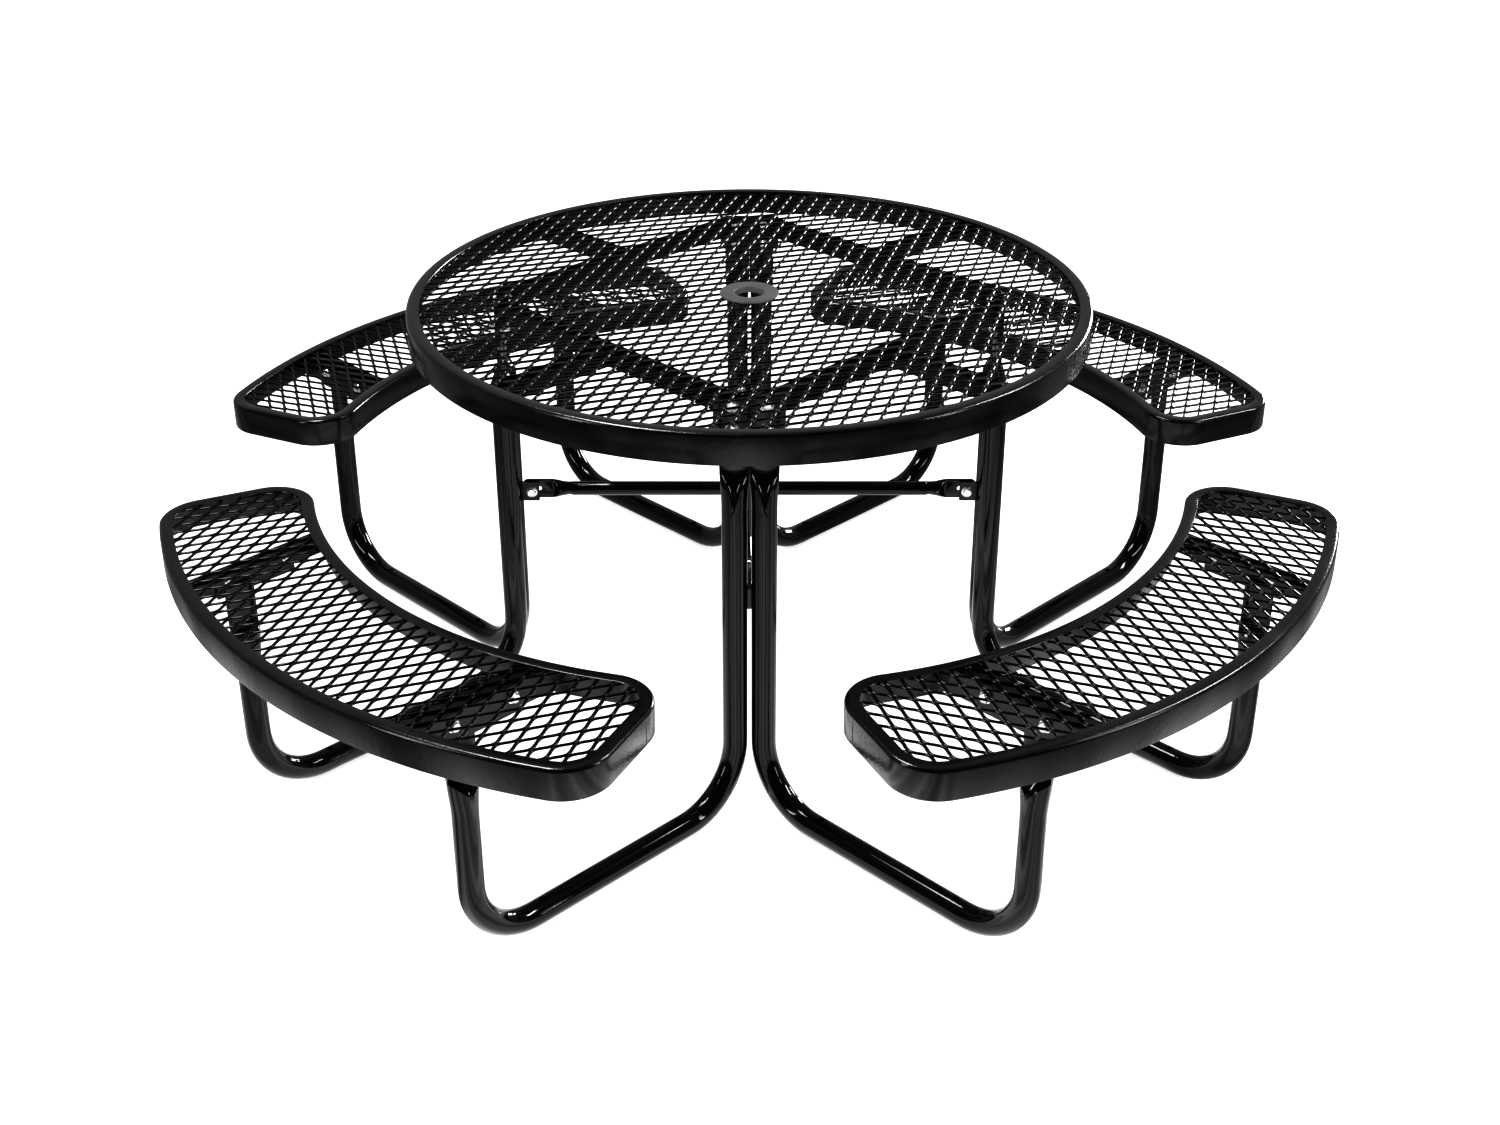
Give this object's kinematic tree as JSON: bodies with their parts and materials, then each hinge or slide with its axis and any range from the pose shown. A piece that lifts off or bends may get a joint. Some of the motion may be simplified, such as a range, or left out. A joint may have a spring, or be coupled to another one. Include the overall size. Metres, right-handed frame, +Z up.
{
  "type": "picnic table",
  "caption": "Round expanded-steel picnic table with an umbrella hole and curved attached seats on bent tube legs.",
  "frame": {"origin": "the middle of the table on the floor", "axes": "+Z up; the four seats lie on +X, +Y, -X and -Y; the pairs of legs stand on the diagonals"},
  "size_m": [2.0358, 2.0358, 0.7625],
  "materials": {
    "rim_coating": "semi-gloss black coating with a light orange peel",
    "mesh_coating": "gloss black dipped coating, rounded over the strands",
    "tube_coating": "high-gloss black powder coat",
    "zinc": "bright zinc plate"
  },
  "bodies": {
    "root": {"top_rim": "rim_coating", "top_mesh": "mesh_coating", "umbrella_collar": "rim_coating", "brace_lower": "tube_coating", "brace_upper": "tube_coating", "top_bar_px": "rim_coating", "top_bar_py": "rim_coating", "top_bar_nx": "rim_coating", "top_bar_ny": "rim_coating", "top_spoke_px": "rim_coating", "top_spoke_py": "rim_coating", "top_spoke_nx": "rim_coating", "top_spoke_ny": "rim_coating", "corner_plate_px": "rim_coating", "corner_plate_py": "rim_coating", "corner_plate_nx": "rim_coating", "corner_plate_ny": "rim_coating", "seat_rim_px": "rim_coating", "seat_rim_py": "rim_coating", "seat_rim_nx": "rim_coating", "seat_rim_ny": "rim_coating", "seat_mesh_px": "mesh_coating", "seat_mesh_py": "mesh_coating", "seat_mesh_nx": "mesh_coating", "seat_mesh_ny": "mesh_coating", "brace_lug_px": "rim_coating", "brace_lug_py": "rim_coating", "brace_lug_nx": "rim_coating", "brace_lug_ny": "rim_coating", "leg_px_a": "tube_coating", "leg_px_b": "tube_coating", "leg_py_a": "tube_coating", "leg_py_b": "tube_coating", "leg_nx_a": "tube_coating", "leg_nx_b": "tube_coating", "leg_ny_a": "tube_coating", "leg_ny_b": "tube_coating", "seat_angle_px_a": "rim_coating", "seat_angle_px_b": "rim_coating", "seat_angle_py_a": "rim_coating", "seat_angle_py_b": "rim_coating", "seat_angle_nx_a": "rim_coating", "seat_angle_nx_b": "rim_coating", "seat_angle_ny_a": "rim_coating", "seat_angle_ny_b": "rim_coating", "leg_bracket_px_a": "rim_coating", "leg_bracket_px_b": "rim_coating", "leg_bracket_py_a": "rim_coating", "leg_bracket_py_b": "rim_coating", "leg_bracket_nx_a": "rim_coating", "leg_bracket_nx_b": "rim_coating", "leg_bracket_ny_a": "rim_coating", "leg_bracket_ny_b": "rim_coating", "top_bolts": "zinc", "top_nuts": "zinc", "seat_bolts": "zinc", "seat_nuts": "zinc", "brace_bolts": "zinc", "brace_nuts": "zinc"}
  },
  "joints": []
}
